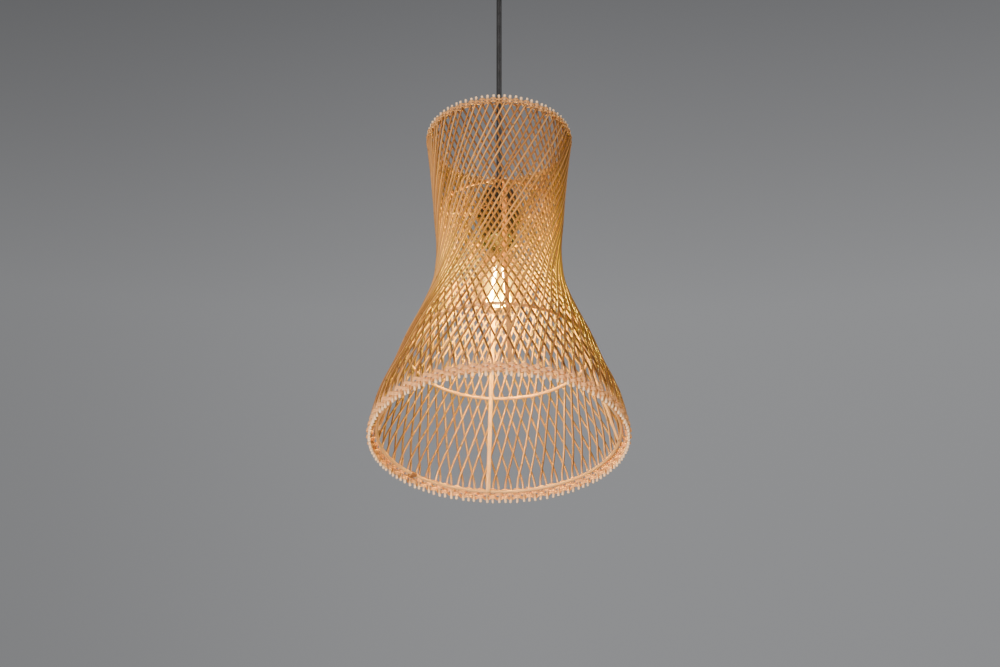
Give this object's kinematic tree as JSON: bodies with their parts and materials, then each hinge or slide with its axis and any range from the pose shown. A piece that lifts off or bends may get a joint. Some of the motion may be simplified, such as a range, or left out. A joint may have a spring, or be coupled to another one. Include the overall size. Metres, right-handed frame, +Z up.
{
  "type": "pendant ceiling light",
  "caption": "Pendant light with an open hourglass shade woven from thin bamboo rods on a hoop and rib frame, a screw bulb, black flex and round ceiling cup.",
  "frame": {"origin": "on the ceiling plane, on the flex's axis: the centre of the ceiling bracket's top face", "axes": "+Z up, out of the ceiling side; the lamp hangs towards -Z; -Y is the side that faces the viewer, +X is the viewer's right"},
  "size_m": [0.3008, 0.3008, 0.7031],
  "materials": {
    "zinc_steel": "satin",
    "black_paint": "satin",
    "black_screw": "satin",
    "white_plastic": "satin",
    "brass": "satin",
    "brown_insulation": "gloss",
    "blue_insulation": "gloss",
    "black_flex": "matte",
    "black_plastic": "satin",
    "black_rubber": "matte",
    "white_ceramic": "gloss",
    "nickel": "polished",
    "clear_glass": "gloss",
    "black_glass": "gloss",
    "filament": "matte",
    "bamboo_rod": "satin",
    "bamboo_band": "satin",
    "bamboo_peg": "matte",
    "rattan_hoop": "satin",
    "cane_binding": "satin",
    "pale_paint": "satin"
  },
  "bodies": {
    "ceiling_fitting": {"ceiling_bracket": "zinc_steel", "ceiling_cup": "black_paint", "cup_screws": "black_screw", "terminal_block": "white_plastic", "terminal_screws": "brass", "live_lead": "brown_insulation", "neutral_lead": "blue_insulation", "cord_tail": "black_flex", "cord_grip": "black_plastic", "grip_screw": "black_screw", "grip_locknut": "black_plastic"},
    "cord_bush": {"grip_bush": "black_rubber"},
    "cord": {"flex_cord": "black_flex", "holder_nipple": "black_plastic", "nipple_screw": "black_screw"},
    "lamp": {"holder_cap": "black_plastic", "holder_body": "black_plastic", "holder_core": "white_ceramic", "core_screws": "brass", "holder_live_lead": "brown_insulation", "holder_neutral_lead": "blue_insulation", "socket_shell": "nickel", "centre_contact": "brass", "side_contact": "brass", "outer_weave": "bamboo_rod", "inner_weave": "bamboo_rod", "bottom_outer_band": "bamboo_band", "bottom_inner_band": "bamboo_band", "top_outer_band": "bamboo_band", "top_inner_band": "bamboo_band", "bottom_pegs": "bamboo_peg", "top_pegs": "bamboo_peg", "bottom_hoop": "rattan_hoop", "mid_hoop": "rattan_hoop", "neck_hoop": "rattan_hoop", "hoop_tie": "cane_binding", "shade_collar": "pale_paint", "collar_spokes": "pale_paint", "rib_right": "rattan_hoop", "rib_back": "rattan_hoop", "rib_left": "rattan_hoop", "rib_front": "rattan_hoop"},
    "washer": {"ring_washer": "black_rubber"},
    "lock_ring": {"retaining_ring": "black_plastic"},
    "bulb_foot": {"bulb_contact": "brass"},
    "bulb": {"bulb_glass": "clear_glass", "bulb_cap": "nickel", "bulb_insulator": "black_glass", "bulb_stem": "clear_glass", "bulb_filaments": "filament", "filament_wires": "nickel"}
  },
  "joints": [
    {"name": "swing_side", "type": "hinge", "parent": "ceiling_fitting", "child": "cord_bush", "pos_m": [0, 0, -0.042], "axis": [0, 1, 0], "range_deg": [-20, 20]},
    {"name": "swing_front", "type": "hinge", "parent": "cord_bush", "child": "cord", "pos_m": [0, 0, -0.042], "axis": [1, 0, 0], "range_deg": [-20, 20]},
    {"name": "lamp_twist", "type": "hinge", "parent": "cord", "child": "lamp", "pos_m": [0, 0, -0.358], "axis": [0, 0, 1], "range_deg": [-180, 180]},
    {"name": "ring_slide", "type": "slide", "parent": "lamp", "child": "washer", "axis": [0, 0, 1], "range_m": [-0.018, 0]},
    {"name": "ring_turn", "type": "hinge", "parent": "washer", "child": "lock_ring", "pos_m": [0, 0, -0.3994], "axis": [0, 0, 1], "range_deg": [-2592, 0]},
    {"name": "bulb_slide", "type": "slide", "parent": "lamp", "child": "bulb_foot", "axis": [0, 0, 1], "range_m": [-0.01452, 0]},
    {"name": "bulb_turn", "type": "hinge", "parent": "bulb_foot", "child": "bulb", "pos_m": [0, 0, -0.426], "axis": [0, 0, 1], "range_deg": [-1440, 0]}
  ],
  "couplings": [
    {"joint": "ring_turn", "follows": "ring_slide", "rad_per_m": 2513.3},
    {"joint": "bulb_turn", "follows": "bulb_slide", "rad_per_m": 1731.4}
  ]
}
